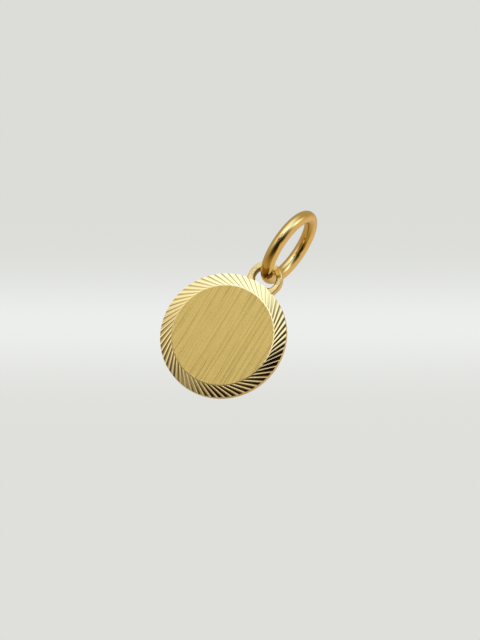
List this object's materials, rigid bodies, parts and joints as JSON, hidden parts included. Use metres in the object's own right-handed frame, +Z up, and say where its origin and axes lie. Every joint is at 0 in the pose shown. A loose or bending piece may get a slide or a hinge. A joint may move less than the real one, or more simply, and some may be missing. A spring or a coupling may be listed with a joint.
{
  "type": "disc pendant",
  "caption": "Round engraving disc with a brushed face and a diamond-cut rim, hung by a soldered eyelet from a round-wire jump ring.",
  "frame": {"origin": "inside top of the jump ring, where a chain carries the pendant", "axes": "+Z up along the hanging line, -Y out of the brushed face towards the viewer, +X to the viewer's right"},
  "size_m": [0.01, 0.0066, 0.017],
  "materials": {
    "gold_wire": "yellow gold wire, polished",
    "gold_disc": "yellow gold, brushed face, bright diamond-cut rim, polished edge and back"
  },
  "bodies": {
    "ring": {"jump_ring": "gold_wire"},
    "disc": {"engraving_disc": "gold_disc"}
  },
  "joints": [
    {"name": "disc_swing", "type": "hinge", "parent": "ring", "child": "disc", "pos_m": [0, 0, -0.0051], "axis": [0, 1, 0], "range_deg": [-115, 115]}
  ]
}
